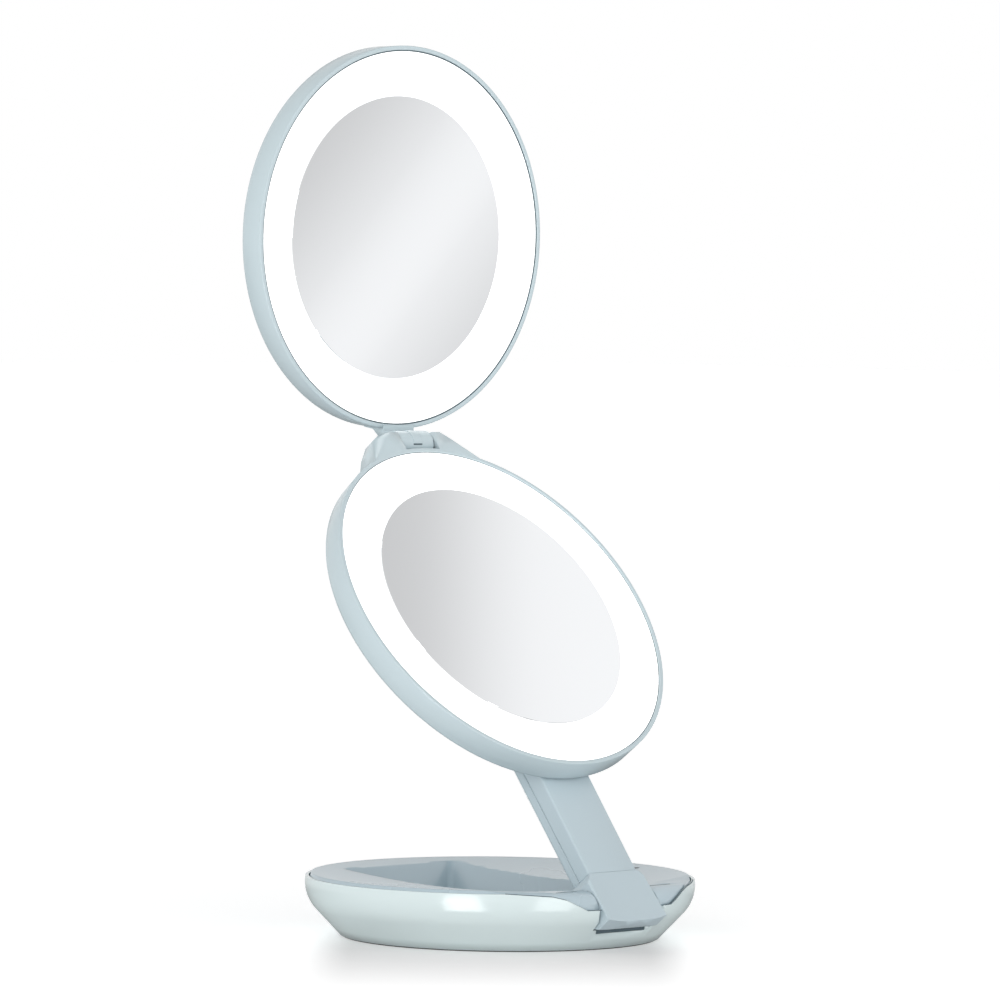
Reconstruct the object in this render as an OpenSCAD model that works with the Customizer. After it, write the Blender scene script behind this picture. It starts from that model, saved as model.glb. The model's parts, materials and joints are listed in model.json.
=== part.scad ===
// Lighted compact mirror: a round base, a folding arm and two hinged mirror heads.
// The origin is the centre of the base's underside, the front faces -Y and Z is up.

/* [Mirror heads] */
// Outer diameter of each mirror head
head_d = 137.4; // [136:0.2:139]
// Thickness of each mirror head
head_t = 10.5; // [10.2:0.1:11.4]
// Wall of the head shells
head_wall = 1.5; // [1.3:0.1:1.7]
// Width of the light ring between the shell's wall and the glass
ring_w = 16.2; // [15:0.2:17]
// Thickness of each mirror glass
glass_t = 2.4; // [2:0.1:2.6]
// Depth of the lower glass below the rim
lower_sink = 0.7; // [0.5:0.1:1]
// Depth of the upper glass below the rim, where the light ring slopes inwards
upper_sink = 3; // [2:0.1:3.2]
// Thickness of the light ring's diffuser
diffuser_t = 2.3; // [1.8:0.1:2.5]
// Number of lamps in each head
led_count = 24; // [12:1:36]

/* [Stance] */
// Lean of the raised arm and lower mirror, up from the flat
lean = 51.8; // [45:0.1:60]
// Lean of the upper mirror, up from the flat
upper_lean = 91.2; // [75:0.1:100]

/* [Upper hinge] */
// Distance of the upper hinge beyond the edge of each head
hinge_gap = 5.3; // [5.2:0.1:6]
// Depth of the upper hinge behind the lower mirror's face
hinge_depth = 5.25; // [5:0.05:5.5]
// Space between the two mirror faces when they are folded together
face_gap = 0.5; // [0.4:0.05:0.8]
// Radius of the hinge barrel
barrel_r = 4.9; // [4.5:0.1:4.9]
// Width of the hinge barrel and of the neck
barrel_w = 15.4; // [12:0.2:17]
// Diameter of the upper hinge pin
upper_pin_d = 2.5; // [2:0.1:2.8]
// Half the width of the ear where it leaves the rim
ear_half = 26.6; // [25:0.1:28]
// Height of the ear's flat top above the head's edge
ear_rise = 8.3; // [8:0.1:8.8]
// Half the width of the ear's flat top
ear_flat = 14.5; // [13:0.1:16]

/* [Base] */
// Greatest diameter of the base
base_d = 138; // [137:0.2:140]
// How far the base's underside lies inside its greatest diameter
foot_in = 12.4; // [12:0.1:13]
// Height of the tray's rim
tray_top = 22.2; // [22:0.1:22.6]
// Height of the bowl's lip
lip_z = 21.1; // [20.8:0.1:21.2]
// Depth of the dished tray at its centre
dish_depth = 4.2; // [3.6:0.1:4.4]
// Wall of the bowl
bowl_wall = 2; // [1.8:0.1:2.2]
// Wall of the bowl beside the tray's rim
lip_wall = 1.1; // [0.9:0.1:1.3]
// Wall of the tray
tray_wall = 1.8; // [1.6:0.1:2]
// Width of the recess that takes the folded arm
recess_w = 53; // [52:0.2:54]
// Height of the recess's floor
recess_z = 11.3; // [11:0.1:11.5]
// How far the recess's back wall lies inside the base's edge
back_in = 15.5; // [15:0.1:16]
// How far the recess's front wall lies inside the base's edge
front_in = 27; // [25:0.5:31]

/* [Base hinge] */
// How far the base hinge lies inside the base's edge
hinge_in = 12.2; // [12:0.1:12.4]
// Height of the base hinge
hinge_z = 14; // [13.9:0.1:14.2]
// Diameter of the base hinge pin
base_pin_d = 4; // [3:0.1:4.4]
// Radius of the rounded hinge cheeks
cheek_r = 6.6; // [6.2:0.1:6.7]
// Radius of the foot block's hub
hub_r = 6.3; // [5.6:0.1:6.3]
// Width of the foot block
foot_w = 28.3; // [27:0.1:28.6]

/* [Arm] */
// Width of the arm
arm_w = 23.4; // [22.8:0.2:24.4]
// Thickness of the arm at its foot
arm_t = 10.1; // [9.8:0.1:10.3]
// Chamfer along the arm's front edges
arm_chamfer = 0.7; // [0.5:0.1:1]
// Space between the carriage at the arm's head and each side of the recess
carriage_gap = 2; // [1.5:0.1:3]
// Space between the folded carriage's end and the recess's back wall
end_gap = 2.7; // [2:0.1:3.5]
// Length of the sliding runner
runner_l = 26; // [22:1:30]
// Width of the runner's neck
runner_neck = 14.6; // [12:0.2:16]
// Width of the runner's head
runner_w = 21; // [19:0.2:22]

/* [Power] */
// Diameter of one battery cell
cell_d = 10.5; // [10:0.1:10.6]
// Length of one battery cell
cell_l = 44.5; // [42:0.5:45]
// Diameter of the power button
button_d = 6; // [5:0.1:6.4]
// How far the power button stands out of the bowl
button_out = 1.8; // [1.2:0.05:2]
// Travel of the power button
button_travel = 0.8; // [0.5:0.1:1]

/* [Hidden] */
$fn = 96;

// Fits
pin_clear = 0.05;     // radial clearance of the hinge pins
slide_clear = 0.3;    // clearance round the sliding runner
slide_end = 0.4;      // space left at each end of the slide
fold_gap = 0.63;      // space between the tray's rim and the folded head
seat = 0.05;          // clearance of a piece in its seat
rest_gap = 0.3;       // space between the folded arm and the recess's floor
side_gap = 0.5;       // clearance of the barrel and the foot block at their sides
lap = 0.001;          // how far a cut runs past the face that it opens

// Shell colours
shell_blue = [0.71, 0.79, 0.81];
inner_white = [0.95, 0.95, 0.94];
steel = [0.72, 0.73, 0.75];
board_green = [0.16, 0.36, 0.24];
rubber_black = [0.10, 0.10, 0.11];

// Bowl profile
bowl_r = base_d / 2;
foot_r = bowl_r - foot_in;
floor_z = 0.4;                       // the rubber ring lifts the bowl this far
belly_z = 19;                        // height of the greatest diameter
belly_r = 13.8;                      // radius of the curve below it
notch_w = foot_w + 2 * side_gap;      // gap between the hinge cheeks
tray_gap = 0.4;                      // dark line between lip and tray
tray_r = bowl_r - lip_wall - tray_gap;
rim_depth = 3.6;                     // height of the tray's outer rim
hinge_front = bowl_r - hinge_in;
recess_back = bowl_r - back_in;
recess_front = bowl_r - front_in;
function belly(z, off = 0) =
    bowl_r - belly_r + sqrt(pow(belly_r - off, 2) - pow(belly_z - z, 2));
belly_low = 45;                      // angle where the curve meets the cone
belly_steps = 9;
function belly_point(a, off) =
    [bowl_r - belly_r + (belly_r - off) * cos(a), belly_z - (belly_r - off) * sin(a)];

// Base hinge and head seats
rise = tray_top + fold_gap - hinge_z;     // the folded head's back above the base hinge
face_rise = rise + head_t;                // its face above the base hinge
head_r = head_d / 2;
inner_r = head_r - head_wall;
glass_r = inner_r - ring_w;
hinge_out = head_r + hinge_gap;           // upper hinge from the centre of each mirror
slot_half = glass_r - 7.75;               // the slot is centred on the lower head
travel = 2 * (slot_half - slide_end) - runner_l;    // slide of the lower head
reach = hinge_front + travel;             // base hinge to the raised lower mirror's centre
runner_at = reach - slot_half + slide_end;    // runner's low end from the base hinge
front_drop = hinge_depth + face_gap;      // upper hinge in front of the upper mirror's face

// Arm: its back lies flat in the recess and its front face climbs a little towards the heads
arm_start = 10.2;
arm_back_h = recess_z + rest_gap - hinge_z;
arm_low = arm_back_h + arm_t;
arm_high = rise - 0.4;
carriage_w = recess_w - 2 * carriage_gap;
carriage_end = hinge_front + recess_back - end_gap;
carriage_l = 44;                     // length of the carriage
arm_end = carriage_end - carriage_l;
arm_pitch = atan2(arm_high - arm_low, arm_end - arm_start);
carriage_front_h = rise - 0.43;
carriage_back_h = arm_back_h + 0.15;
carriage_split = 3.2;

// Places in a mirror head, whose face is at z = 0
skin = head_wall;
floor_in = -head_t + skin;                // inner face of the back
board_z = floor_in + 1.3;                 // underside of the lamp board
board_t = 1;
led_h = 1.2;
diffuser_z = -0.5;                        // face of the diffuser
function frame_z(sink) = -sink - glass_t;    // seat of the glass
frame_t = 1.3;
frame_r = glass_r + 1.1;
post_at = glass_r * 0.55;                 // places of the four posts
track_top = 2.3;                          // free height in the track
track_wall = 1.6;

// Frames of the moving pieces
module arm_frame() translate([0, -hinge_front, hinge_z]) rotate([lean, 0, 0]) children();
module lower_frame() arm_frame() translate([0, reach, face_rise]) children();
module hinge_frame() lower_frame() translate([0, hinge_out, -hinge_depth]) children();
module upper_frame()
    hinge_frame() rotate([upper_lean - lean, 0, 0]) translate([0, hinge_out, -front_drop]) children();

// Helpers
// A side outline, drawn as (y, z), made w wide and centred on x = 0
module side(w) rotate([90, 0, 90]) translate([0, 0, -w / 2]) linear_extrude(w) children();
// A front outline, drawn as (x, z), made l long along +Y
module along_y(l) translate([0, l, 0]) rotate([90, 0, 0]) linear_extrude(l) children();
module mirror_pair() { children(); mirror([1, 0, 0]) children(); }
module rounded_box(size, r) {
    linear_extrude(size[2]) rounded_square([size[0], size[1]], r);
}
module rounded_square(size, r) {
    square([size[0], size[1] - 2 * r], center = true);
    square([size[0] - 2 * r, size[1]], center = true);
    for (sx = [-1, 1], sy = [-1, 1])
        translate([sx * (size[0] / 2 - r), sy * (size[1] / 2 - r)]) circle(r, $fn = 32);
}
// Where a line from point p touches a circle, on the side that s gives
function touch(c, r, p, s) =
    let (d = p - c, a = atan2(d[1], d[0]) + s * acos(r / norm(d)))
    c + r * [cos(a), sin(a)];

// Base

// The bowl's outline from the foot up to a height, moved in by off
module bowl_outline(off, top, low) {
    polygon(concat(
        [[0, low], [foot_r - off * 1.2, low]],
        [for (i = [0:belly_steps]) belly_point(belly_low * (1 - i / belly_steps), off)],
        [[belly(top, off), top], [0, top]]
    ));
}
module bowl_solid(off, top, low) rotate_extrude() bowl_outline(off, top, low);

// Seam of the front dip, as seen from the front
dip_z = 15;
dip_half = [[46, lip_z], [33, 20.1], [28.5, 18.9], [20.6, dip_z]];
dip_end = dip_half[0][0];
module front_dip() {
    left = [for (p = dip_half) [-p[0], p[1]]];
    right = [for (i = [len(dip_half) - 1:-1:0]) dip_half[i]];
    translate([0, -bowl_r - 5, 0]) along_y(bowl_r - 20)
        polygon(concat([[-dip_end, lip_z + 2]], left, right, [[dip_end, lip_z + 2]]));
}
// The bowl's inside, moved in by extra: its wall thins above the rebate
rebate_z = dip_z - 2.2;
module bowl_inside(extra, top) {
    bowl_solid(bowl_wall + extra, top, floor_z + bowl_wall);
    intersection() {
        bowl_solid(lip_wall + extra, top, floor_z);
        translate([0, 0, rebate_z + extra]) cylinder(r = bowl_r, h = top);
    }
}
// Notch for the foot block: straight between the cheeks, with a narrower slot below the
// block and a bevelled mouth that widens out to the bowl's surface
notch_z = 7.6;
slot_z = 6.2;
slot_w = notch_w - 5.3;
mouth_z = 4.1;
mouth_y = -bowl_r + 8.7;             // the mouth's inner face
mouth_wide = notch_w + 5.9;
module bowl_notch() {
    reach_in = bowl_r - recess_front;
    translate([-notch_w / 2, -bowl_r - 5, notch_z]) cube([notch_w, reach_in, tray_top]);
    translate([-slot_w / 2, -bowl_r - 5, slot_z]) cube([slot_w, reach_in, notch_z - slot_z + 0.1]);
    intersection() {
        translate([0, 0, mouth_z]) linear_extrude(tray_top) mouth_plan();
        side(mouth_wide + 2) polygon([
            [mouth_y, slot_z], [mouth_y, 30], [-bowl_r - 6, 30], [-bowl_r - 6, mouth_z],
            [mouth_y - 0.15, mouth_z]
        ]);
    }
}
module mouth_plan() {
    right = [
        [slot_w / 2, mouth_y], [notch_w / 2, mouth_y - 3.3], [notch_w / 2, mouth_y - 4.1],
        [mouth_wide / 2, -bowl_r + 0.5], [mouth_wide / 2, -bowl_r - 6]
    ];
    polygon(concat(right, [for (i = [len(right) - 1:-1:0]) [-right[i][0], right[i][1]]]));
}
button_z = 14;
ring_in = foot_r - 4.2;
ring_out = foot_r - 0.8;
ring_t = 1.4;
cover_r = ring_in - 1.2;
cover_t = 2;
screw_ring = (ring_in + ring_out) / 2;
module on_screw_ring() for (a = [40, 140, 220, 320]) rotate(a) translate([screw_ring, 0, 0]) children();
screw_head_r = 1.5;
screw_shank_r = 0.9;
screw_seat_z = floor_z + bowl_wall - 0.4;    // the screw heads lie above the foot ring

module base_bowl() {
    color(shell_blue)
    difference() {
        bowl_solid(0, lip_z, floor_z);
        bowl_inside(0, lip_z + 1);
        translate([0, 0, -1]) cylinder(r = cover_r + seat, h = 4);
        rotate_extrude() translate([ring_in - seat, -1]) square([ring_out - ring_in + 2 * seat, ring_t + 1]);
        on_screw_ring() translate([0, 0, -1]) {
            cylinder(r = screw_shank_r + seat, h = 5, $fn = 24);
            cylinder(r = screw_head_r + 0.1, h = screw_seat_z + 1, $fn = 24);
        }
        front_dip();
        bowl_notch();
        translate([0, 0, button_z]) rotate([-90, 0, 0])
            cylinder(r = button_d / 2 + 0.2, h = bowl_r + 5, $fn = 48);
    }
}

// The tray's top surface falls along a shallow circle towards its centre
dish_steps = 10;
function dish(r) = tray_top - dish_depth * (1 - pow(r / tray_r, 2));
cheek_y = -hinge_front - 1.1;            // centre of the cheeks' rounded front
cheek_z = hinge_z + 0.4;
cheek_top = cheek_z + cheek_r;
module dish_outline(thick) {
    polygon(concat(
        [for (i = [0:dish_steps]) let (r = i * (tray_r - 0.7) / dish_steps) [r, dish(r) + 0.02]],
        [[tray_r - 0.2, tray_top - 0.2], [tray_r, tray_top - 0.8], [tray_r, tray_top - rim_depth],
         [tray_r - tray_wall, tray_top - rim_depth]],
        [for (i = [dish_steps:-1:0])
            let (r = i * (tray_r - tray_wall - 0.7) / dish_steps) [r, dish(r) - thick]]
    ));
}
// Side outline that rounds the tray down to the hinge cheeks
module tray_side() {
    polygon(concat(
        [[bowl_r, 0], [bowl_r, tray_top + 2], [-recess_front - 1, tray_top + 2],
         [-recess_front - 1, tray_top + 0.2], [-recess_front - 7, cheek_top]],
        [for (a = [90:10:180]) [cheek_y + cheek_r * cos(a), cheek_z + cheek_r * sin(a)]],
        [[cheek_y - cheek_r, 0]]
    ));
}
boss_r = 2.6;
cheek_out = 30;
apron_t = 3.2;
module tray_solid() {
    rotate_extrude() dish_outline(tray_wall);
    // Walls of the recess
    translate([-recess_w / 2 - tray_wall, -recess_front - tray_wall, recess_z - tray_wall])
        cube([recess_w + 2 * tray_wall, recess_front + recess_back + 2 * tray_wall, tray_top - recess_z]);
    // Hinge cheeks
    intersection() {
        translate([0, 0, recess_z - tray_wall]) cylinder(r = tray_r, h = tray_top - recess_z);
        translate([-cheek_out, -bowl_r, recess_z - tray_wall])
            cube([2 * cheek_out, bowl_r - recess_front, tray_top - recess_z]);
    }
    // Front apron below the dip
    intersection() {
        rotate_extrude() translate([tray_r - apron_t, recess_z - tray_wall]) square([apron_t, 12]);
        translate([-dip_end, -bowl_r, 0]) cube([2 * dip_end, bowl_r - 44, tray_top]);
    }
    // Screw bosses
    on_screw_ring() translate([0, 0, floor_z + bowl_wall])
        cylinder(r = boss_r, h = dish(screw_ring) - tray_wall / 2 - floor_z - bowl_wall, $fn = 32);
}
// Fine joint line along the crest of each cheek
groove_from = 18;
groove_to = 28;
groove_w = 0.4;
module crest_groove() mirror_pair()
    translate([groove_from, -hinge_front - groove_w / 2, cheek_top - groove_w])
        cube([groove_to - groove_from, groove_w, groove_w + 3]);
module base_tray() {
    color(shell_blue)
    difference() {
        intersection() {
            tray_solid();
            side(2 * bowl_r) tray_side();
            bowl_inside(tray_gap, tray_top + 2);
        }
        crest_groove();
        // Recess for the folded arm
        translate([0, (recess_back - recess_front) / 2, recess_z])
            rounded_box([recess_w, recess_back + recess_front, 20], 2.5);
        // Way through to the front for the foot block
        translate([-notch_w / 2, -bowl_r - 5, 0]) cube([notch_w, bowl_r + 5 - recess_front + 3, 40]);
        // Space above the dish over the thick parts
        rotate_extrude() polygon(concat(
            [for (i = [0:dish_steps]) let (r = i * (tray_r - 0.7) / dish_steps) [r, dish(r) + 0.02]],
            [[tray_r - 0.2, tray_top - 0.2], [tray_r, tray_top - 0.8], [tray_r + 3, tray_top - 0.8],
             [tray_r + 3, 40], [0, 40]]
        ));
        rotate([0, 90, 0]) translate([-hinge_z, -hinge_front, -pin_half - 0.3])
            cylinder(r = base_pin_d / 2 + pin_clear, h = 2 * pin_half + 0.6, $fn = 48);
        on_screw_ring() cylinder(r = screw_shank_r + seat, h = 12, $fn = 24);
        translate([lens_x, lens_y, 0]) cylinder(r = lens_r + seat, h = 40, $fn = 32);
    }
}
pin_half = 25;
lens_x = bowl_r - 8.9;
lens_y = -8;
lens_r = 1.25;
module indicator_lens() {
    color([0.25, 0.28, 0.30])
    translate([lens_x, lens_y, dish(norm([lens_x, lens_y])) - 1.6]) cylinder(r = lens_r, h = 1.7, $fn = 32);
}
module bottom_cover() {
    color(shell_blue)
    difference() {
        translate([0, 0, floor_z]) cylinder(r = cover_r, h = cover_t);
        // Coin slot and its round dish
        translate([0, 0, -0.1]) cylinder(r = 9, h = 1.1);
        translate([-8, -1, -0.1]) cube([16, 2, 1.8]);
    }
}
module foot_ring() {
    color(rubber_black) rotate_extrude() translate([ring_in, 0]) square([ring_out - ring_in, ring_t]);
}
module base_screws() {
    color(steel) on_screw_ring() {
        translate([0, 0, ring_t + seat])
            cylinder(r = screw_head_r, h = screw_seat_z - ring_t - 2 * seat, $fn = 24);
        translate([0, 0, ring_t + 0.2]) cylinder(r = screw_shank_r, h = 9, $fn = 24);
    }
}
ballast_t = 4.5;
module ballast_plate() {
    color(steel)
    translate([0, (recess_back - recess_front) / 2, recess_z - tray_wall - seat - ballast_t])
        rounded_box([recess_w - 6, recess_back + recess_front - 14, ballast_t], 5);
}
cell_z = floor_z + cover_t + 1.1 + cell_d / 2;
cell_near = recess_w / 2 + tray_wall + 0.3 + cell_d / 2;
cell_far = cell_near + cell_d + 0.4;
module at_cells() for (s = [-1, 1], x = [cell_near, cell_far]) translate([s * x, 0, cell_z]) children();
module battery_cells() {
    color([0.62, 0.63, 0.62]) at_cells() rotate([90, 0, 0]) {
        translate([0, 0, -cell_l / 2]) cylinder(r = cell_d / 2, h = cell_l - 1, $fn = 48);
        translate([0, 0, cell_l / 2 - 1.05]) cylinder(r = 1.9, h = 1.05, $fn = 32);
    }
}
cradle_base = 0.8;                   // wall below the cells
cradle_h = 3.4;
contact_gap = 2.2;
contact_t = 0.4;
contact_y = cell_l / 2 + contact_gap - 0.45;
cradle_end = 1.2;
cradle_l = cell_l + 2 * (contact_gap + cradle_end);
cradle_z = cell_z - cell_d / 2 - cradle_base;
module contact_plate(clear) {
    for (y = [-1, 1])
        translate([cell_near - cell_d / 3 - clear, y * (contact_y + contact_t / 2) - contact_t / 2 - clear,
                   cell_z - cell_d / 3 - clear])
            cube([cell_far - cell_near + cell_d * 2 / 3 + 2 * clear, contact_t + 2 * clear,
                  cell_d * 2 / 3 + 2 * clear]);
}
module cell_cradles() {
    color(inner_white) mirror_pair() difference() {
        intersection() {
            translate([cell_near - cell_d / 2 - 0.2, -cradle_l / 2, cradle_z])
                cube([cell_far - cell_near + cell_d + 0.4, cradle_l, cradle_h]);
            bowl_solid(bowl_wall + 0.3, tray_top, floor_z + bowl_wall);
        }
        for (x = [cell_near, cell_far]) translate([x, 0, cell_z]) rotate([90, 0, 0])
            cylinder(r = cell_d / 2 + seat, h = cell_l + 2 * contact_gap, center = true, $fn = 48);
        contact_plate(seat);
    }
}
module contact_springs() {
    color(steel) at_cells() rotate([-90, 0, 0]) translate([0, 0, cell_l / 2 + seat])
        cylinder(r1 = 1.6, r2 = 2.8, h = contact_y - cell_l / 2 - 2 * seat, $fn = 32);
}
module contact_plates() {
    color(steel) mirror_pair() intersection() {
        contact_plate(0);
        bowl_solid(bowl_wall + 0.3, tray_top, floor_z + bowl_wall);
    }
}
board_y = recess_back + tray_wall + 0.15;
circuit_t = 1.2;
circuit_w = 22;
circuit_h = 10;
module control_board() {
    color(board_green) translate([-circuit_w / 2, board_y, button_z - 0.6 * circuit_h])
        cube([circuit_w, circuit_t, circuit_h]);
}
switch_t = 1.9;
module tact_switch() {
    color([0.2, 0.2, 0.22]) {
        translate([-3, board_y + circuit_t, button_z - 3]) cube([6, switch_t, 6]);
        translate([0, board_y + circuit_t + switch_t, button_z]) rotate([-90, 0, 0])
            cylinder(r = 1.4, h = 0.5, $fn = 32);
    }
}
button_in = board_y + circuit_t + switch_t + 0.5 + button_travel + 0.1;
module power_button() {
    color(shell_blue) translate([0, 0, button_z]) rotate([-90, 0, 0]) {
        translate([0, 0, button_in]) cylinder(r = 1.2, h = 1.4, $fn = 32);
        translate([0, 0, button_in + 1.2]) cylinder(r = button_d / 2 + 0.9, h = 1.2, $fn = 48);
        translate([0, 0, button_in + 2.2])
            cylinder(r = button_d / 2, h = belly(button_z) + button_out - button_in - 2.2, $fn = 48);
    }
}
module base_hinge_pin() {
    color(steel) translate([-pin_half, -hinge_front, hinge_z]) rotate([0, 90, 0])
        cylinder(r = base_pin_d / 2, h = 2 * pin_half, $fn = 48);
}
washer_t = (notch_w - foot_w) / 2 - 0.15;
module hinge_washers() {
    color(steel) mirror_pair() translate([foot_w / 2 + 0.1, -hinge_front, hinge_z]) rotate([0, 90, 0])
        difference() {
            cylinder(r = hub_r - 1.2, h = washer_t, $fn = 48);
            translate([0, 0, -1]) cylinder(r = base_pin_d / 2 + pin_clear, h = washer_t + 2, $fn = 48);
        }
}

// Arm

// Front plate of the foot block: its lower lip, its height over the hinge and its bevels
lip_s = -10.75;
plate_high = rise - 0.38;
plate_low = arm_low + 0.25;
lip_round = 0.4;
bevel_joint = 0.9;
bevel_lip = 0.15;
module foot_outline() {
    circle(hub_r);
    polygon([
        [arm_start, arm_back_h], [arm_start, plate_low], [lip_s + lip_round, plate_high],
        [lip_s, plate_high - lip_round], [lip_s + 0.1, 5.1], [lip_s + 0.9, 2.9],
        [-hub_r * 0.64, -hub_r * 0.7], [0, -hub_r + 0.05]
    ]);
}
// The plate's lower edge bows out towards the middle
lip_bow_r = 65;
module lip_bow() {
    translate([0, lip_s + lip_bow_r, -20]) cylinder(r = lip_bow_r, h = 60, $fn = 360);
}
// Bevel along each side edge of the plate, widest at the joint line
module plate_bevel() {
    run = arm_start - lip_s - lip_round;
    mirror_pair() translate([foot_w / 2 - bevel_joint, arm_start, plate_low])
        rotate([-atan2(plate_high - plate_low, run), 0, 0])
            rotate([0, 0, atan2(bevel_joint - bevel_lip, run)])
                rotate([0, -45, 0]) translate([0, -1.5 * run, -run]) cube([run, 3 * run, 2 * run]);
}
narrow_l = 3.2;
module foot_block() {
    color(shell_blue)
    arm_frame() difference() {
        intersection() {
            side(foot_w) foot_outline();
            lip_bow();
        }
        plate_bevel();
        rotate([0, 90, 0]) cylinder(r = base_pin_d / 2 + pin_clear, h = foot_w + 2, center = true, $fn = 48);
        // The sides narrow to the arm's width at the joint line
        mirror_pair() translate([0, arm_start, -20]) linear_extrude(60) polygon([
            [arm_w / 2 + seat, 1], [arm_w / 2 + seat, 0], [foot_w / 2, -narrow_l],
            [foot_w / 2 + 1, -narrow_l], [foot_w / 2 + 1, 1]
        ]);
        core_space(seat);
    }
}
arm_split = arm_back_h + 4.1;           // joint between the arm's front and back covers
module arm_trim(low, high) {
    translate([-arm_w, arm_start, low]) cube([2 * arm_w, arm_end - arm_start, high - low]);
}
core_w = 14;
core_t = 2.4;
core_from = 4.6;
core_to = arm_end + 26;
module core_space(clear) {
    translate([-core_w / 2 - clear, core_from - clear, arm_split - core_t - clear])
        cube([core_w + 2 * clear, core_to - core_from + 2 * clear, core_t + 2 * clear]);
}
cable_w = 3.6;
cable_t = 1.8;
module arm_core() { color(steel) arm_frame() core_space(0); }
module arm_cable() {
    color(rubber_black) arm_frame() translate([-cable_w / 2, arm_start, arm_split + seat])
        cube([cable_w, arm_end - arm_start, cable_t]);
}
module arm_front_cover() {
    color(shell_blue)
    arm_frame() difference() {
        intersection() {
            translate([0, arm_start, arm_low]) rotate([arm_pitch, 0, 0]) translate([0, -arm_start, 0])
                along_y(2 * arm_end) polygon([
                    [-arm_w / 2, -2 * arm_t], [arm_w / 2, -2 * arm_t], [arm_w / 2, -arm_chamfer],
                    [arm_w / 2 - arm_chamfer * 0.3, -arm_chamfer * 0.3],
                    [arm_w / 2 - arm_chamfer, 0], [-arm_w / 2 + arm_chamfer, 0],
                    [-arm_w / 2 + arm_chamfer * 0.3, -arm_chamfer * 0.3], [-arm_w / 2, -arm_chamfer]
                ]);
            arm_trim(arm_split, 3 * arm_t);
        }
        translate([-cable_w / 2 - seat, arm_start - 1, arm_split - 1])
            cube([cable_w + 2 * seat, arm_end - arm_start + 2, cable_t + 2 * seat + 1]);
    }
}
// Places of the screws, from the start and from the end of the arm
screw_from_start = 9.8;
screw_from_end = 13.6;
arm_screw_at = [arm_start + screw_from_start, arm_end - screw_from_end];
module at_arm_screws() arm_frame() for (s = arm_screw_at, x = [-1, 1])
    translate([x * (core_w / 2 + 2.4), s, arm_back_h]) children();
seam_bevel = 0.12;
back_bevel = 0.8;
module arm_back_cover() {
    color(shell_blue)
    difference() {
        arm_frame() difference() {
            translate([0, arm_start, arm_back_h]) along_y(arm_end - arm_start) polygon([
                [-arm_w / 2 + back_bevel, 0], [arm_w / 2 - back_bevel, 0], [arm_w / 2, back_bevel],
                [arm_w / 2, arm_split - arm_back_h - seam_bevel],
                [arm_w / 2 - seam_bevel, arm_split - arm_back_h],
                [-arm_w / 2 + seam_bevel, arm_split - arm_back_h],
                [-arm_w / 2, arm_split - arm_back_h - seam_bevel], [-arm_w / 2, back_bevel]
            ]);
            core_space(seat);
        }
        at_arm_screws() {
            translate([0, 0, -1]) cylinder(r = screw_head_r + 0.2, h = 2.2, $fn = 24);
            cylinder(r = screw_shank_r + seat, h = 8, $fn = 24);
        }
    }
}
module arm_screws() {
    color(steel) at_arm_screws() {
        translate([0, 0, 0.3]) cylinder(r = screw_head_r, h = 0.85, $fn = 24);
        translate([0, 0, 1]) cylinder(r = screw_shank_r, h = arm_split - arm_back_h - 1.05, $fn = 24);
    }
}
// Carriage: the arm's wide head, which lies in the recess when the arm is folded
carriage_neck = arm_w / 2 + 1.6;
shoulder_l = 28;                     // length of the carriage at its full width
carriage_shoulder = carriage_end - shoulder_l;
carriage_corner = 3.6;
module carriage_outline() {
    polygon([
        [-carriage_neck, arm_end], [-carriage_w / 2, carriage_shoulder],
        [-carriage_w / 2, carriage_end - carriage_corner],
        [-carriage_w / 2 + carriage_corner, carriage_end],
        [carriage_w / 2 - carriage_corner, carriage_end],
        [carriage_w / 2, carriage_end - carriage_corner], [carriage_w / 2, carriage_shoulder],
        [carriage_neck, arm_end]
    ]);
}
runner_neck_top = rise + skin + 0.2;
module at_runner_screws() for (s = [0.25, 0.75])
    translate([0, runner_at + s * runner_l, 0]) children();
pad_out = 5.5;                       // from the runner's side to the middle of each pad
pad_x = runner_w / 2 + pad_out;
runner_screw_in = 5;                 // depth of the runner's screws in the carriage
pad_w = 6;
pad_t = 0.7;
module carriage_front() {
    color(shell_blue)
    arm_frame() difference() {
        union() {
            translate([0, 0, carriage_split])
                linear_extrude(carriage_front_h - carriage_split) carriage_outline();
            translate([-runner_neck / 2, runner_at, carriage_front_h - 0.5])
                cube([runner_neck, runner_l, runner_neck_top - carriage_front_h + 0.5]);
        }
        at_runner_screws() translate([0, 0, runner_neck_top - runner_screw_in - 1])
            cylinder(r = screw_shank_r + seat, h = runner_screw_in + 3, $fn = 24);
        mirror_pair() translate([pad_x - pad_w / 2 - seat, runner_at - seat, carriage_front_h - 0.5])
            cube([pad_w + 2 * seat, runner_l + 2 * seat, 2]);
    }
}
module carriage_back() {
    color(shell_blue)
    arm_frame() difference() {
        union() {
            translate([0, 0, carriage_back_h + 1])
                linear_extrude(carriage_split - carriage_back_h - 1) carriage_outline();
            // The back face is a step smaller all round
            intersection() {
                translate([0, 0, carriage_back_h]) linear_extrude(1.2) carriage_outline();
                translate([0, (arm_end + carriage_end) / 2, carriage_back_h])
                    rounded_box([carriage_w - 2, carriage_end - arm_end - 2, 1.2], 2);
            }
        }
        core_space(seat);
    }
}
runner_t = track_top - 0.4;
module slide_runner() {
    color(steel)
    arm_frame() difference() {
        translate([-runner_w / 2, runner_at, runner_neck_top]) cube([runner_w, runner_l, runner_t]);
        at_runner_screws() {
            cylinder(r = screw_shank_r + seat, h = 30, $fn = 24);
            translate([0, 0, runner_neck_top + 1]) cylinder(r = screw_head_r + 0.2, h = 3, $fn = 24);
        }
    }
}
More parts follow.
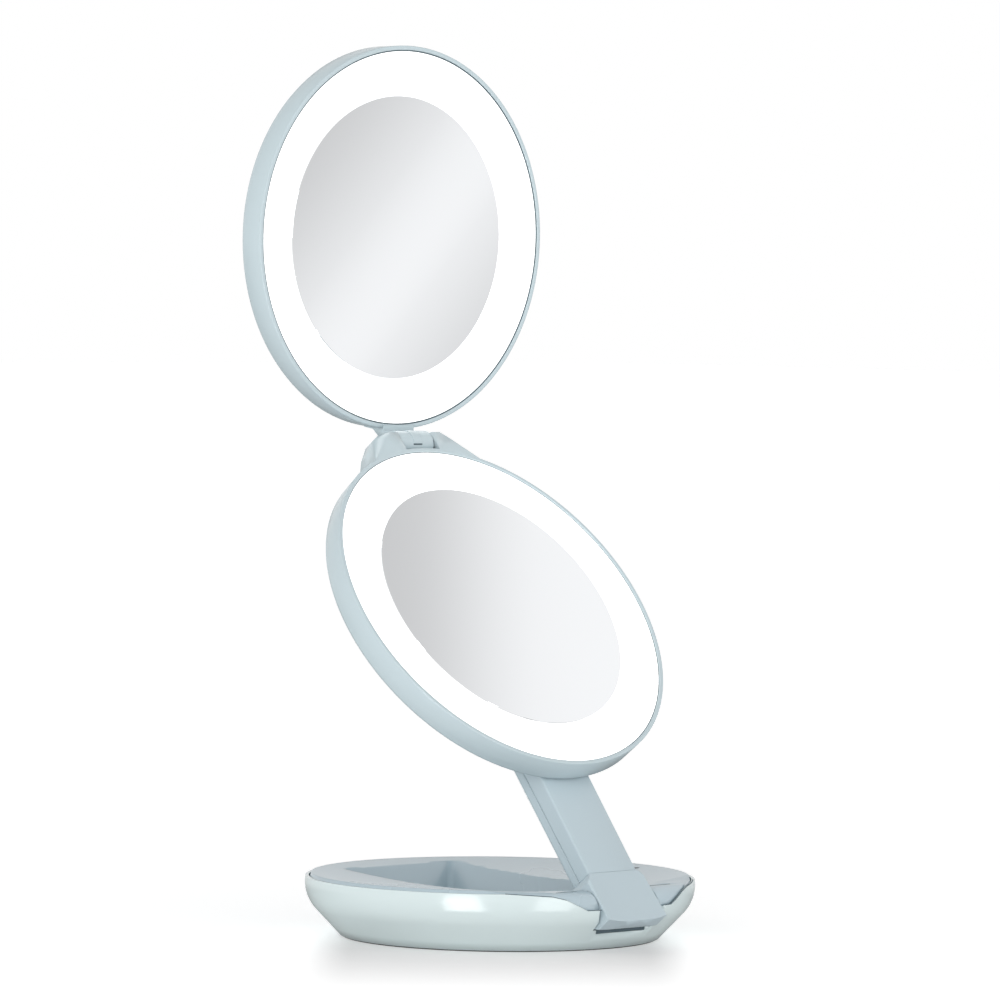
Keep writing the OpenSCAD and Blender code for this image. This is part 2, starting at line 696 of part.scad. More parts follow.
module runner_screws() {
    color(steel) arm_frame() at_runner_screws() {
        translate([0, 0, runner_neck_top + 1.05]) cylinder(r = screw_head_r, h = 0.8, $fn = 24);
        translate([0, 0, runner_neck_top - runner_screw_in])
            cylinder(r = screw_shank_r, h = runner_screw_in + 1.2, $fn = 24);
    }
}
module glide_pads() {
    color([0.86, 0.86, 0.84]) arm_frame() mirror_pair()
        translate([pad_x - pad_w / 2, runner_at, carriage_front_h - 0.5 + 0.02])
            cube([pad_w, runner_l, pad_t]);
}

// Mirror heads, drawn face up with the face at z = 0

back_round = 1.3;
draft = 0.3;
rim_round = 0.3;
ledge = 2;                           // step that carries the lamp board
module shell_outline() {
    polygon([
        [0, -head_t], [head_r - draft - back_round, -head_t],
        [head_r - draft - back_round * 0.38, -head_t + back_round * 0.3],
        [head_r - draft, -head_t + back_round], [head_r, -rim_round],
        [head_r - rim_round * 0.3, -rim_round * 0.3], [head_r - rim_round, 0],
        [inner_r + 0.1, 0], [inner_r, -0.1], [inner_r, board_z],
        [inner_r - ledge, board_z], [inner_r - ledge, floor_in], [0, floor_in]
    ]);
}
module at_posts() for (sx = [-1, 1], sy = [-1, 1]) translate([sx * post_at, sy * post_at, 0]) children();
post_r = 2.4;
sunk_r = 1.7;                        // countersunk screw heads
sunk_t = 0.85;
// Shell with the posts that carry the glass frame
module head_shell(sink) {
    difference() {
        union() {
            rotate_extrude($fn = 180) shell_outline();
            at_posts() translate([0, 0, floor_in - 0.2])
                cylinder(r = post_r, h = frame_z(sink) - frame_t - seat - floor_in + 0.2, $fn = 32);
        }
        at_posts() translate([0, 0, floor_in - 0.3])
            cylinder(r = screw_shank_r + seat, h = head_t, $fn = 24);
    }
}
module head_screws(sink) {
    at_posts() {
        translate([0, 0, frame_z(sink) - sunk_t - seat])
            cylinder(r1 = screw_shank_r, r2 = sunk_r, h = sunk_t, $fn = 24);
        translate([0, 0, floor_in - 0.1])
            cylinder(r = screw_shank_r, h = frame_z(sink) - sunk_t - floor_in + 0.1, $fn = 24);
    }
}
module glass_frame(sink) {
    top = frame_z(sink);
    difference() {
        union() {
            translate([0, 0, top - frame_t]) cylinder(r = frame_r, h = frame_t);
            rotate_extrude() translate([frame_r - 1.4, floor_in])
                square([1.4, top - frame_t / 2 - floor_in]);
        }
        at_posts() {
            translate([0, 0, top - frame_t - 1]) cylinder(r = screw_shank_r + seat, h = 4, $fn = 24);
            translate([0, 0, top - sunk_t])
                cylinder(r1 = screw_shank_r + seat, r2 = sunk_r + 2 * seat, h = sunk_t + lap, $fn = 24);
        }
    }
}
glass_bevel = 0.4;
module glass_plate(sink) {
    rotate_extrude($fn = 180) polygon([
        [0, frame_z(sink)], [glass_r, frame_z(sink)], [glass_r, -sink - glass_bevel],
        [glass_r - glass_bevel, -sink], [0, -sink]
    ]);
}
diffuser_in = frame_r + 0.1;
diffuser_out = inner_r - 0.1;
glass_gap = 0.15;
module diffuser_ring(sink) {
    low = frame_z(sink) + 0.1;
    inner_top = -sink + 0.2;
    board_top = board_z + board_t + seat;
    rotate_extrude($fn = 180) polygon([
        [glass_r + glass_gap, inner_top - 0.2], [glass_r + glass_gap + 0.2, inner_top],
        [diffuser_out - 0.3, diffuser_z], [diffuser_out, diffuser_z - 0.3], [diffuser_out, board_top],
        [diffuser_out - 1.3, board_top], [diffuser_out - 1.3, diffuser_z - diffuser_t],
        [diffuser_in, inner_top - diffuser_t], [diffuser_in, low], [glass_r + glass_gap, low]
    ]);
}
module led_board() {
    rotate_extrude() translate([frame_r + 0.4, board_z + 0.02])
        square([inner_r - frame_r - 0.8, board_t]);
}
led_r = (frame_r + inner_r) / 2;
module leds() {
    for (i = [0:led_count - 1]) rotate(i * 360 / led_count)
        translate([led_r - 1.5, -1.5, board_z + board_t + 0.03]) cube([3, 3, led_h]);
}

// Lower head with the hinge ear and the slot for the runner
ear_top = head_r + ear_rise;
function ear_side(f) = [
    [ear_half, head_r - 6.2], [ear_half - 3.8 - f, head_r + 0.7 - f * 0.6],
    [ear_flat + 3 - f, ear_top - 1.8 - f * 0.8], [ear_flat - f, ear_top - f * 0.55]
];
module ear_outline(f) {
    right = ear_side(f);
    polygon(concat(right, [for (i = [len(right) - 1:-1:0]) [-right[i][0], right[i][1]]]));
}
module ear() {
    difference() {
        hull() {
            translate([0, 0, -head_t]) linear_extrude(0.6) ear_outline(0.8);
            translate([0, 0, -head_t + 1.2]) linear_extrude(head_t / 2) ear_outline(0);
            translate([0, 0, -0.6]) linear_extrude(0.6) ear_outline(2.4);
        }
        translate([0, 0, -head_t - 1]) cylinder(r = inner_r + 0.6, h = head_t + 2);
        // Gap for the barrel of the upper head
        difference() {
            translate([-barrel_w / 2 - side_gap, head_r - 2, -head_t - 1])
                cube([barrel_w + 2 * side_gap, 20, head_t + 2]);
            translate([0, 0, -head_t - 2]) cylinder(r = head_r - draft, h = head_t + 4);
        }
    }
}
upper_pin_half = 15;
module lower_back_shell() {
    color(shell_blue)
    lower_frame() difference() {
        union() {
            head_shell(lower_sink);
            ear();
        }
        translate([-runner_neck / 2 - slide_clear, -slot_half, -head_t - 1])
            cube([runner_neck + 2 * slide_clear, 2 * slot_half, skin + 2]);
        translate([0, hinge_out, -hinge_depth]) rotate([0, 90, 0])
            cylinder(r = upper_pin_d / 2 + pin_clear, h = 2 * upper_pin_half + 0.4, center = true, $fn = 48);
    }
}
module lower_track() {
    color([0.30, 0.31, 0.33])
    lower_frame() difference() {
        translate([-runner_w / 2 - slide_clear - track_wall, -slot_half - track_wall, floor_in])
            cube([runner_w + 2 * (slide_clear + track_wall), 2 * (slot_half + track_wall),
                  frame_z(lower_sink) - frame_t - floor_in - seat]);
        translate([-runner_w / 2 - slide_clear, -slot_half, floor_in - 1])
            cube([runner_w + 2 * slide_clear, 2 * slot_half, track_top + 1]);
    }
}
module lower_glass_frame() { color(inner_white) lower_frame() glass_frame(lower_sink); }
module lower_glass() { color([0.85, 0.86, 0.87]) lower_frame() glass_plate(lower_sink); }
module lower_diffuser() { color([1, 1, 1]) lower_frame() diffuser_ring(lower_sink); }
module lower_led_board() { color(inner_white) lower_frame() led_board(); }
module lower_leds() { color([1, 0.95, 0.7]) lower_frame() leds(); }
module lower_screws() { color(steel) lower_frame() head_screws(lower_sink); }
module upper_hinge_pin() {
    color(steel) hinge_frame() rotate([0, 90, 0])
        cylinder(r = upper_pin_d / 2, h = 2 * upper_pin_half, center = true, $fn = 48);
}

// Upper head and the neck that carries it
neck_root = inner_r + 0.05;
neck_w = barrel_w - 0.4;
neck_front = 0.2;
neck_tab = 11;
tongue_top = board_z - 0.05;
sunk_neck = 0.6;
barrel_c = [-hinge_out, front_drop];
neck_back = [-head_r - 2.4, -2.6];
module neck_outline() {
    t = touch(barrel_c, barrel_r, neck_back, -1);
    translate(barrel_c) circle(barrel_r);
    polygon([
        [-neck_root + neck_tab, floor_in], [-neck_root + neck_tab, tongue_top],
        [-neck_root, tongue_top], [-neck_root, neck_front], [-head_r - 0.55, neck_front],
        [barrel_c[0] + barrel_r, barrel_c[1]], barrel_c, t, neck_back,
        [-head_r - 0.1, -5.2], [-head_r + 0.5, -head_t + 0.6], [-neck_root, -head_t], [-neck_root, floor_in]
    ]);
}
neck_screw_x = 4;
neck_screw_y = -neck_root + 7;
module at_neck_screws() for (s = [-1, 1]) translate([s * neck_screw_x, neck_screw_y, 0]) children();
module upper_neck() {
    color(shell_blue)
    upper_frame() difference() {
        union() {
            side(neck_w) neck_outline();
            translate([0, barrel_c[0], barrel_c[1]]) rotate([0, 90, 0])
                cylinder(r = barrel_r, h = barrel_w, center = true);
        }
        translate([0, barrel_c[0], barrel_c[1]]) rotate([0, 90, 0])
            cylinder(r = upper_pin_d / 2 + pin_clear, h = barrel_w + 2, center = true, $fn = 48);
        at_neck_screws() {
            translate([0, 0, -head_t]) cylinder(r = screw_shank_r + seat, h = 4, $fn = 24);
            translate([0, 0, tongue_top - sunk_neck])
                cylinder(r1 = screw_shank_r + seat, r2 = screw_head_r + 2 * seat,
                         h = sunk_neck + lap, $fn = 24);
        }
        // Slot at the end of the barrel's tongue
        translate([0, barrel_c[0], barrel_c[1]]) rotate([-38, 0, 0])
            translate([-2.2, -0.4, -barrel_r - 1]) cube([4.4, 0.8, 2.2]);
    }
}
module neck_cut() {
    translate([-neck_w / 2 - seat, -head_r - 5, -head_t - 1])
        cube([neck_w + 2 * seat, head_r + 5 - neck_root + 0.02, head_t + 2]);
    translate([-neck_w / 2 - seat, -neck_root - 1, floor_in]) cube([neck_w + 2 * seat, neck_tab + 1.1, 3]);
}
module upper_back_shell() {
    color(shell_blue)
    upper_frame() difference() {
        head_shell(upper_sink);
        neck_cut();
        at_neck_screws() translate([0, 0, floor_in - 1.1])
            cylinder(r = screw_shank_r + seat, h = 4, $fn = 24);
    }
}
module neck_screws() {
    color(steel) upper_frame() at_neck_screws() {
        translate([0, 0, tongue_top - sunk_neck - seat])
            cylinder(r1 = screw_shank_r, r2 = screw_head_r, h = sunk_neck, $fn = 24);
        translate([0, 0, floor_in - 1])
            cylinder(r = screw_shank_r, h = tongue_top - sunk_neck - floor_in + 1, $fn = 24);
    }
}
module upper_glass_frame() { color(inner_white) upper_frame() glass_frame(upper_sink); }
module upper_glass() { color([0.85, 0.86, 0.87]) upper_frame() glass_plate(upper_sink); }
module upper_diffuser() { color([1, 1, 1]) upper_frame() diffuser_ring(upper_sink); }
module upper_led_board() { color(inner_white) upper_frame() led_board(); }
module upper_leds() { color([1, 0.95, 0.7]) upper_frame() leds(); }
module upper_screws() { color(steel) upper_frame() head_screws(upper_sink); }

base_bowl();
base_tray();
bottom_cover();
foot_ring();
ballast_plate();
cell_cradles();
battery_cells();
contact_springs();
contact_plates();
control_board();
tact_switch();
indicator_lens();
base_screws();
base_hinge_pin();
hinge_washers();
power_button();
foot_block();
arm_front_cover();
arm_back_cover();
arm_core();
arm_cable();
carriage_front();
carriage_back();
slide_runner();
runner_screws();
glide_pads();
arm_screws();
lower_back_shell();
lower_track();
lower_glass_frame();
lower_glass();
lower_diffuser();
lower_led_board();
lower_leds();
lower_screws();
upper_hinge_pin();
upper_back_shell();
upper_neck();
neck_screws();
upper_glass_frame();
upper_glass();
upper_diffuser();
upper_led_board();
upper_leds();
upper_screws();
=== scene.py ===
"""Finish, glass, lamps, camera and stage of a folding lighted mirror, built around its fixed frame."""

import json
import math

import bmesh
import bpy
from bpy.props import FloatProperty, FloatVectorProperty, PointerProperty
from bpy.types import Operator, Panel, PropertyGroup
from mathutils import Matrix, Vector

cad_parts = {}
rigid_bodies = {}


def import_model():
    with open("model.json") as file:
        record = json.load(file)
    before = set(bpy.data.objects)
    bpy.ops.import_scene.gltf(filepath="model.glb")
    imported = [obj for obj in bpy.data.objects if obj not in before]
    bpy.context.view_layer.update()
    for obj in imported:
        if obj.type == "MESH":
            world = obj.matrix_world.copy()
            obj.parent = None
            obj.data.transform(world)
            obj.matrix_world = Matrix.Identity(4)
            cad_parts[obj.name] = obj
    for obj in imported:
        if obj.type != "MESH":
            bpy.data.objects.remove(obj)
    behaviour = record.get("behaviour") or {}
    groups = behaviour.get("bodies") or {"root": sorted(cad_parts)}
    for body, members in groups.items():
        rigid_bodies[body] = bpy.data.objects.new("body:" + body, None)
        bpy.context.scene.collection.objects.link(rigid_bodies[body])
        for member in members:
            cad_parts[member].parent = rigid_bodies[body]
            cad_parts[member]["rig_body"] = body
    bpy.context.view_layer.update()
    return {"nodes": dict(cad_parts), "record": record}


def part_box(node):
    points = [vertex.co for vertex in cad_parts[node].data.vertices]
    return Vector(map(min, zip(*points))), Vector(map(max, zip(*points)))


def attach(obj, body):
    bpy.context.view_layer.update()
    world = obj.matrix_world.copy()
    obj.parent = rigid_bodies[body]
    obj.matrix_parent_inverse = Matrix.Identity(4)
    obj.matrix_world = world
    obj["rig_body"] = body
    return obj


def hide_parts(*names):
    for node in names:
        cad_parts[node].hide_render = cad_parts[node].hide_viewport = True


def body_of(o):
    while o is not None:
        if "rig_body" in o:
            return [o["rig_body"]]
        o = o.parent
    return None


bl_info = {
    "name": "Folding Lighted Mirror",
    "version": (1, 0, 0),
    "blender": (4, 5, 0),
    "location": "View3D > Sidebar > Mirror",
    "description": "Finishes a folding lighted mirror and sets up its camera, lamps and stage",
    "category": "Object",
}

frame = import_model()
SLOT_OF = {part["node"]: part["material_slot"] for part in frame["record"]["subparts"]}
COLOUR_OF = {slot["slot"]: slot["base_color"] for slot in frame["record"]["materials"]}
MM = 0.001


class MirrorForm(PropertyGroup):
    """Edges of the pieces and their fine lines of painted shade."""

    edge: FloatProperty(
        name="Edge", description="Width of the soft edges of the arm's covers",
        subtype="DISTANCE", min=0, max=0.001, default=0.0004, precision=6)
    # Width of the ring of painted shade in the gap between a rim and its light ring
    line_width: FloatProperty(
        name="Line width", description="Width of the dark line between a rim and its light ring",
        subtype="DISTANCE", min=0, max=0.002, default=0.0005, precision=6)
    tongue_width: FloatProperty(
        name="Tongue width", description="Width of the tongue over the upper hinge's barrel",
        subtype="DISTANCE", min=0.001, max=0.01, default=0.0042)
    # Width of the lines of painted shade in the base's gaps
    gap_shade_width: FloatProperty(
        name="Seam width", description="Width of the dark seams of the base",
        subtype="DISTANCE", min=0, max=0.001, default=0.00032, precision=6)


class MirrorFinish(PropertyGroup):
    """Colours and surface of the plastics."""

    # The bowl, tray, arm and heads are of one blue plastic; their four colours carry painted light and
    # shade, the bowl lighter and the tray darker for the shade in its dish and recess, the arm and
    # heads between
    bowl: FloatVectorProperty(
        name="Bowl", description="Colour of the base's bowl", subtype="COLOR",
        size=3, min=0, max=1, default=(0.665, 0.76, 0.765))
    tray: FloatVectorProperty(
        name="Tray", description="Colour of the dished tray", subtype="COLOR",
        size=3, min=0, max=1, default=(0.44, 0.545, 0.60))
    arm: FloatVectorProperty(
        name="Arm", description="Colour of the arm and its foot", subtype="COLOR",
        size=3, min=0, max=1, default=(0.485, 0.58, 0.625))
    head: FloatVectorProperty(
        name="Heads", description="Colour of the mirror heads", subtype="COLOR",
        size=3, min=0, max=1, default=(0.525, 0.62, 0.655))
    # Colour of painted shade: the dark lines and liner that stand for the shade in the gaps between
    # pieces
    seam: FloatVectorProperty(
        name="Seams", description="Colour of the fine dark lines between pieces",
        subtype="COLOR", size=3, min=0, max=1, default=(0.08, 0.12, 0.14))
    ring_glow: FloatProperty(
        name="Ring glow", description="Strength of the light ring's own light",
        min=0, max=4, default=0.85)
    grain_depth: FloatProperty(
        name="Grain depth", description="Height of the moulded grain", subtype="DISTANCE",
        min=0, max=0.001, default=0.000012, precision=6)


class MirrorStage(PropertyGroup):
    """Camera, lamps and surroundings."""

    lens: FloatProperty(
        name="Lens", description="Focal length on a 36 mm sensor", subtype="DISTANCE_CAMERA",
        min=50, max=400, default=232.48)
    distance: FloatProperty(
        name="Distance", description="Camera's distance from its target", subtype="DISTANCE",
        min=1, max=5, default=2.27886)
    azimuth: FloatProperty(
        name="Azimuth", description="Camera's turn to the left of the front", subtype="ANGLE",
        default=math.radians(-43.94))
    elevation: FloatProperty(
        name="Elevation", description="Camera's height over the target", subtype="ANGLE",
        default=math.radians(1.92))
    roll: FloatProperty(
        name="Roll", description="Camera's turn about its line of sight", subtype="ANGLE",
        default=math.radians(0.71))
    target_height: FloatProperty(
        name="Target height", description="Height that the camera is aimed at",
        subtype="DISTANCE", default=0.160)
    slide_right: FloatProperty(
        name="Slide right", description="Sideways move of the picture", subtype="DISTANCE",
        default=0.00174)
    slide_up: FloatProperty(
        name="Slide up", description="Upward move of the picture", subtype="DISTANCE",
        default=0.00582)
    front_light: FloatProperty(
        name="Front light", description="Strength of the room's light from the camera's side",
        min=0, max=4, default=2.15)
    back_light: FloatProperty(
        name="Back light", description="Strength of the room's light from behind the object",
        min=0, max=4, default=0.05)
    top_share: FloatProperty(
        name="Top share", description="Share of the room's light that is left straight above",
        subtype="FACTOR", min=0, max=1, default=0.30)
    dim_behind: FloatProperty(
        name="Dim behind", description="How much darker reflections see the room low behind the object",
        subtype="FACTOR", min=0, max=1, default=0.8)
    light_turn: FloatProperty(
        name="Light turn", description="Turn of the brightest side to the left of the front",
        subtype="ANGLE", default=math.radians(-45))
    key_light: FloatProperty(
        name="Key light", description="Strength of the large lamp on the left of the camera",
        min=0, max=100, default=3.2)
    floor_glow: FloatProperty(
        name="Floor glow", description="Strength that keeps the open floor white to the camera",
        min=0, max=2, default=0.52)
    floor_bounce: FloatProperty(
        name="Floor bounce", description="Strength of the light that the floor adds from below",
        min=0, max=2, default=0.35)
    # Depth of the shadow painted into the floor's colour and glow
    painted_shadow_depth: FloatProperty(
        name="Pool depth", description="How much darker the floor is in the soft pool of shadow",
        subtype="FACTOR", min=0, max=1, default=0.42)
    panel_glow: FloatProperty(
        name="Panel glow", description="Strength of the panels that shine on the bowl",
        min=0, max=20, default=11.0)
    card_distance: FloatProperty(
        name="Card distance", description="Distance of the reflector cards from the glasses",
        subtype="DISTANCE", min=0.2, max=2, default=0.5)


# Pieces

BASE_R = 69 * MM
BELLY_R = 13.8 * MM
BELLY_Z = 19 * MM
RIM_INNER_R = 67.2 * MM
BARREL_R = 4.9 * MM
LIGHT_RING_DROP = 0.5 * MM
LEAN_LOWER = math.radians(51.8)
LEAN_UPPER = math.radians(91.2)
WELD = 0.002 * MM
FLAT = math.radians(0.4)
SHARP = math.radians(32)
CRISP = math.radians(12)
EAR_SHARP = math.radians(48)
TONGUE_EDGE = 0.1 * MM
# Short lines of painted shade at the front crest of the base, as distances from the middle and a place
# in mm
CREST_X = (18, 22, 28)
CREST_Y = -56.8
CREST_Z = 20.95
# Size and place of the dark box of painted shade inside the slot under the foot
LINER_SIZE = Vector((23.9, 0.6, 1.3)) * MM
LINER_PLACE = Vector((0, -59.8, 6.9)) * MM
PIECE_FINISH = {}


def add_piece(context, name, shape, body, slot, sharp=SHARP, finish=None):
    """Puts a finished shape into the scene as a piece that rides on a body."""
    mesh = bpy.data.meshes.new(name)
    shape.to_mesh(mesh)
    shape.free()
    mesh.shade_smooth()
    mesh.set_sharp_from_angle(angle=sharp)
    piece = bpy.data.objects.new(name, mesh)
    context.scene.collection.objects.link(piece)
    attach(piece, body)
    PIECE_FINISH[name] = finish or slot
    return piece


def merged_shape(node):
    """The shape of a CAD node with its loose triangles joined."""
    shape = bmesh.new()
    shape.from_mesh(frame["nodes"][node].data)
    bmesh.ops.remove_doubles(shape, verts=shape.verts, dist=WELD)
    return shape


def soften(piece, width, segments=2, angle=SHARP):
    """Gives a piece the small rounding of a moulded edge."""
    bevel = piece.modifiers.new("Soft edges", "BEVEL")
    bevel.width = width
    bevel.segments = segments
    bevel.limit_method = "ANGLE"
    bevel.angle_limit = angle
    bevel.use_clamp_overlap = False
    bevel.harden_normals = True


def smooth_copy(context, node, sharp=SHARP):
    """A smoothly shaded piece that stands for a CAD node."""
    body = body_of(frame["nodes"][node])[0]
    piece = add_piece(context, "smooth_" + node, merged_shape(node), body, SLOT_OF[node], sharp)
    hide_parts(node)


def soft_copy(context, node, width):
    """A piece with rounded edges that stands for a CAD node."""
    shape = merged_shape(node)
    bmesh.ops.dissolve_limit(shape, angle_limit=FLAT, verts=shape.verts, edges=shape.edges)
    body = body_of(frame["nodes"][node])[0]
    piece = add_piece(context, "soft_" + node, shape, body, SLOT_OF[node])
    soften(piece, width)
    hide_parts(node)


def turned_ring(outline, steps=180):
    """A ring turned about Z from an outline of radius and height."""
    shape = bmesh.new()
    corners = [shape.verts.new((r, 0, z)) for r, z in outline]
    edges = [shape.edges.new((corners[i - 1], corners[i])) for i in range(len(corners))]
    bmesh.ops.spin(shape, geom=corners + edges, cent=(0, 0, 0), axis=(0, 0, 1),
                   angle=2 * math.pi, steps=steps, use_merge=True)
    bmesh.ops.recalc_face_normals(shape, faces=shape.faces)
    return shape


def middle_of(node):
    """The middle of a CAD node's box."""
    low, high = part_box(node)
    return (Vector(low) + Vector(high)) / 2


def head_matrix(glass, lean, face_above):
    """The frame of a mirror head, whose rim lies at z = 0, from its glass."""
    along = Vector((0, math.cos(lean), math.sin(lean)))
    face = Vector((0, -math.sin(lean), math.cos(lean)))
    middle = middle_of(glass) + face * face_above
    turn = Matrix((Vector((1, 0, 0)), along, face)).transposed().to_4x4()
    return Matrix.Translation(middle) @ turn


HEADS = {
    "lower": ("lower_head", "lower_glass", LEAN_LOWER, 1.9 * MM),
    "upper": ("upper_head", "upper_glass", LEAN_UPPER, 4.2 * MM),
}


class MIRROR_OT_heads(Operator):
    """Makes the shells of the two heads and a dark line of painted shade inside each rim"""

    bl_idname = "mirror.heads"
    bl_label = "Heads"

    def execute(self, context):
        form = context.scene.mirror_form
        for name, (body, glass, lean, face_above) in HEADS.items():
            sharp = EAR_SHARP if name == "lower" else SHARP
            smooth_copy(context, name + "_back_shell", sharp)
            # A thin dark ring of painted shade stands for the gap between the rim and the light ring
            top = -LIGHT_RING_DROP + 0.08 * MM
            outer = RIM_INNER_R - 0.04 * MM
            line = turned_ring([
                (outer - form.line_width, top - 0.1 * MM), (outer - form.line_width, top),
                (outer, top), (outer, top - 0.3 * MM)])
            bmesh.ops.transform(line, matrix=head_matrix(glass, lean, face_above), verts=line.verts)
            add_piece(context, name + "_rim_line", line, body, "dark_plastic", finish="seam")
        return {"FINISHED"}


def barrel_arc(centre, width, inner, outer, start, sweep, steps):
    """A strip bent round the upper hinge's axis, from start, in degrees up from the front."""
    shape = bmesh.new()
    across = Vector((width / 2, 0, 0))
    out = Vector((0, -math.cos(math.radians(start)), math.sin(math.radians(start))))
    corners = [shape.verts.new(centre + side * across + out * r)
               for side, r in ((-1, inner), (1, inner), (1, outer), (-1, outer))]
    face = shape.faces.new(corners)
    bmesh.ops.spin(shape, geom=[face], cent=centre, axis=(-1, 0, 0),
                   angle=math.radians(sweep), steps=steps)
    bmesh.ops.recalc_face_normals(shape, faces=shape.faces)
    return shape


class MIRROR_OT_hinge(Operator):
    """Makes the neck of the upper head, with the tongue over its barrel"""

    bl_idname = "mirror.hinge"
    bl_label = "Upper hinge"

    def execute(self, context):
        form = context.scene.mirror_form
        smooth_copy(context, "upper_neck")
        centre = middle_of("upper_hinge_pin")
        tongue = barrel_arc(centre, form.tongue_width, BARREL_R - 0.3 * MM, BARREL_R + 0.26 * MM,
                            6, 84, 20)
        piece = add_piece(context, "hinge_tongue", tongue, "upper_head", "head_blue")
        soften(piece, TONGUE_EDGE)
        # A dark strip of painted shade just in front of the tongue stands for the slot there
        slot = barrel_arc(centre, form.tongue_width, BARREL_R - 0.3 * MM, BARREL_R + 0.06 * MM, 0, 6, 4)
        add_piece(context, "tongue_slot", slot, "upper_head", "dark_plastic", finish="seam")
        return {"FINISHED"}


def shade_tube(points, width):
    """A thin round strip that follows a line of points."""
    shape = bmesh.new()
    rings = []
    for i, point in enumerate(points):
        ahead = points[min(i + 1, len(points) - 1)] - points[max(i - 1, 0)]
        turn = ahead.to_track_quat("Z", "Y").to_matrix().to_4x4()
        made = bmesh.ops.create_circle(shape, segments=8, radius=width / 2,
                                       cap_ends=i in (0, len(points) - 1),
                                       matrix=Matrix.Translation(point) @ turn)
        rings.append(list({e for v in made["verts"] for e in v.link_edges}))
    for first, second in zip(rings, rings[1:]):
        bmesh.ops.bridge_loops(shape, edges=first + second)
    bmesh.ops.recalc_face_normals(shape, faces=shape.faces)
    return shape


# Line of painted shade along the joint of the front dip, as distances from the middle and heights in mm
DIP = ((46, 21.1), (33, 20.1), (28.5, 18.9), (20.6, 15), (14.9, 15))
SEAM_IN = 0.65 * MM
SEAM_UP = 0.08 * MM
STEPS_PER_STRETCH = 6


def dip_points(side):
    """Points of the line of painted shade along the joint between the bowl and the tray's front."""
    points = []
    for (x0, z0), (x1, z1) in zip(DIP, DIP[1:]):
        for i in range(STEPS_PER_STRETCH):
            part = i / STEPS_PER_STRETCH
            points.append((x0 + (x1 - x0) * part, z0 + (z1 - z0) * part))
    points.append(DIP[-1])
    placed = []
    for x, z in points:
        x, z = x * MM, z * MM
        out = BASE_R - BELLY_R + math.sqrt(BELLY_R ** 2 - (BELLY_Z - z) ** 2) - SEAM_IN
        placed.append(Vector((side * x, -math.sqrt(out ** 2 - x ** 2), z + SEAM_UP)))
    return placed


class MIRROR_OT_base(Operator):
    """Makes the bowl, the tray, the cover and the button, with fine dark lines of painted shade in the
    base's gaps and a dark liner of painted shade in the slot under the foot
    """

    bl_idname = "mirror.base"
    bl_label = "Base"

    def execute(self, context):
        form = context.scene.mirror_form
        for node in ("base_bowl", "base_tray", "bottom_cover", "power_button"):
            smooth_copy(context, node)
        for side, word in ((-1, "left"), (1, "right")):
            seam = shade_tube(dip_points(side), form.gap_shade_width)
            add_piece(context, "dip_seam_" + word, seam, "base", "dark_plastic", finish="seam")
            crest = [Vector((side * x, CREST_Y, CREST_Z)) * MM for x in CREST_X]
            line = shade_tube(crest, form.gap_shade_width)
            add_piece(context, "crest_line_" + word, line, "base", "dark_plastic", finish="seam")
        # Painted shade: a dark liner inside the slot under the foot
        liner = bmesh.new()
        bmesh.ops.create_cube(liner, size=1)
        bmesh.ops.scale(liner, vec=LINER_SIZE, verts=liner.verts)
        bmesh.ops.translate(liner, vec=LINER_PLACE, verts=liner.verts)
        add_piece(context, "slot_liner", liner, "base", "tray_blue", finish="seam")
        return {"FINISHED"}


class MIRROR_OT_arm(Operator):
    """Makes the foot, the covers and the carriage of the arm"""

    bl_idname = "mirror.arm"
    bl_label = "Arm"

    def execute(self, context):
        form = context.scene.mirror_form
        for node in ("arm_front_cover", "arm_back_cover"):
            soft_copy(context, node, form.edge)
        for node in ("foot_block", "carriage_front", "carriage_back"):
            smooth_copy(context, node, CRISP)
        return {"FINISHED"}


# Materials

def bare_material(name):
    """A node material that holds only its output, with its nodes, its link call and that output."""
    material = bpy.data.materials.new(name)
    material.use_nodes = True
    nodes = material.node_tree.nodes
    nodes.clear()
    output = nodes.new("ShaderNodeOutputMaterial")
    return material, nodes, material.node_tree.links.new, output


def new_material(name):
    """A material with a Principled shader, and that shader."""
    material, nodes, link, output = bare_material(name)
    shader = nodes.new("ShaderNodeBsdfPrincipled")
    link(shader.outputs["BSDF"], output.inputs["Surface"])
    return material, shader


